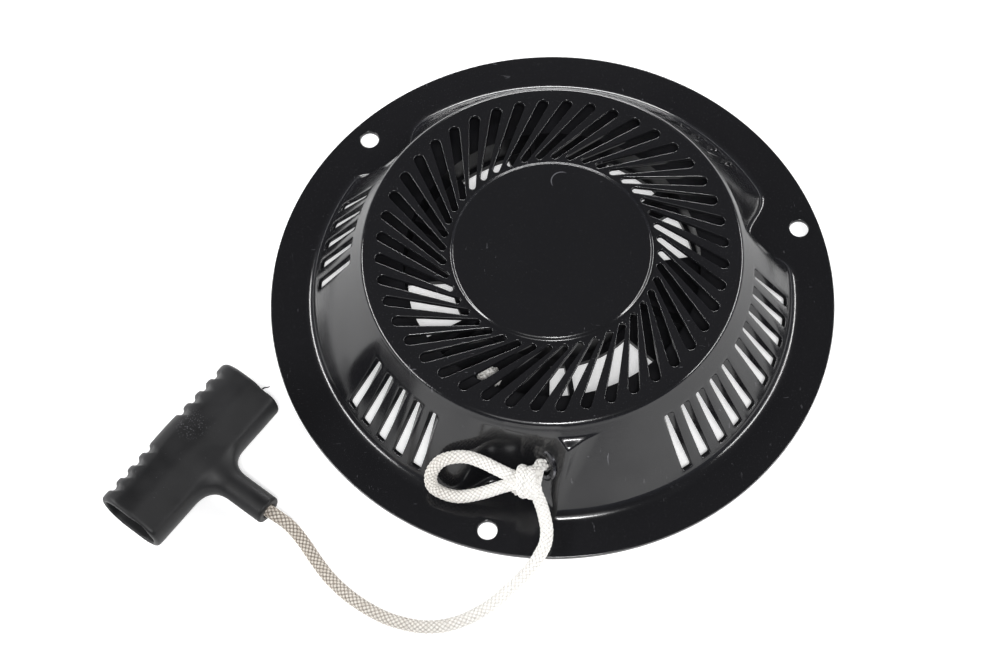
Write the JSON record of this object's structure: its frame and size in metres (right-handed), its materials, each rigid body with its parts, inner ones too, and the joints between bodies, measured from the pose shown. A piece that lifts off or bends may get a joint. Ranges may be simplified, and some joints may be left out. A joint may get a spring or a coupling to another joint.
{
  "type": "recoil starter",
  "caption": "Stamped recoil starter with a slotted dome over a rope reel, spring and pawls, and a pull rope that ends in a rubber T-handle.",
  "frame": {"origin": "centre of the bolt circle, on the flange's mating face", "axes": "+Z out through the dome along the reel's axis, -Y towards the rope outlet, -X towards the side where the rope leaves"},
  "size_m": [0.3404, 0.2988, 0.0458],
  "materials": {
    "black_paint": "gloss black stove enamel over stamped steel",
    "dark_steel": "dull phosphated steel",
    "plated_steel": "bright zinc plate",
    "washer_fibre": "satin fibre",
    "eyelet_steel": "polished nickel plate",
    "rope": "braided nylon, off white with grey flecks",
    "reel_plastic": "moulded black nylon",
    "bronze": "oiled sintered bronze",
    "spring_steel": "blued spring steel",
    "pawl_steel": "hardened steel, lightly oiled",
    "black_rubber": "matte moulded rubber"
  },
  "bodies": {
    "cover": {"housing": "black_paint", "post_plate": "dark_steel", "centre_post": "plated_steel", "upper_thrust_washer": "washer_fibre", "rope_eyelet": "eyelet_steel", "eyelet_ring": "eyelet_steel", "thrust_washer": "washer_fibre", "bolt_washer": "plated_steel", "retaining_bolt": "plated_steel", "rope_run": "rope"},
    "reel": {"reel": "reel_plastic", "reel_bushing": "bronze", "spring_case": "dark_steel", "mainspring": "spring_steel", "spring_cover": "dark_steel", "cover_screws": "plated_steel", "rope_wound": "rope", "reel_knot": "rope", "pawl_pins": "plated_steel", "pawl_spring_1": "spring_steel", "pawl_spring_2": "spring_steel", "friction_spring": "spring_steel"},
    "friction_plate": {"friction_plate": "plated_steel"},
    "pawl_1": {"pawl_1": "pawl_steel"},
    "pawl_2": {"pawl_2": "pawl_steel"},
    "handle": {"starter_rope": "rope", "rope_loop": "rope", "slip_knot": "rope", "handle_grip": "black_rubber", "rope_retainer": "plated_steel", "handle_knot": "rope"}
  },
  "joints": [
    {"name": "reel_spin", "type": "hinge", "parent": "cover", "child": "reel", "pos_m": [0, 0, 0.018], "axis": [0, 0, -1], "range_deg": [0, 720], "stiffness_Nm_per_rad": 0.05, "springref_deg": -401.07, "deforming": ["mainspring"]},
    {"name": "plate_drag", "type": "hinge", "parent": "reel", "child": "friction_plate", "pos_m": [0, 0, 0.0084], "axis": [0, 0, 1], "range_deg": [0, 20], "stiffness_Nm_per_rad": 0.02, "springref_deg": -11.46},
    {"name": "pawl_1_swing", "type": "hinge", "parent": "reel", "child": "pawl_1", "pos_m": [0.03, 0, 0.0132], "axis": [0, 0, 1], "range_deg": [0, 25], "deforming": ["pawl_spring_1"]},
    {"name": "pawl_2_swing", "type": "hinge", "parent": "reel", "child": "pawl_2", "pos_m": [-0.03, 0, 0.0132], "axis": [0, 0, 1], "range_deg": [0, 25], "deforming": ["pawl_spring_2"]},
    {"name": "handle_pull", "type": "slide", "parent": "cover", "child": "handle", "axis": [-0.866, -0.5, 0], "range_m": [0, 0.93]}
  ],
  "couplings": [
    {"joint": "pawl_1_swing", "follows": "plate_drag", "ratio": 1.25},
    {"joint": "pawl_2_swing", "follows": "plate_drag", "ratio": 1.25},
    {"joint": "handle_pull", "follows": "reel_spin", "m_per_rad": 0.074}
  ]
}
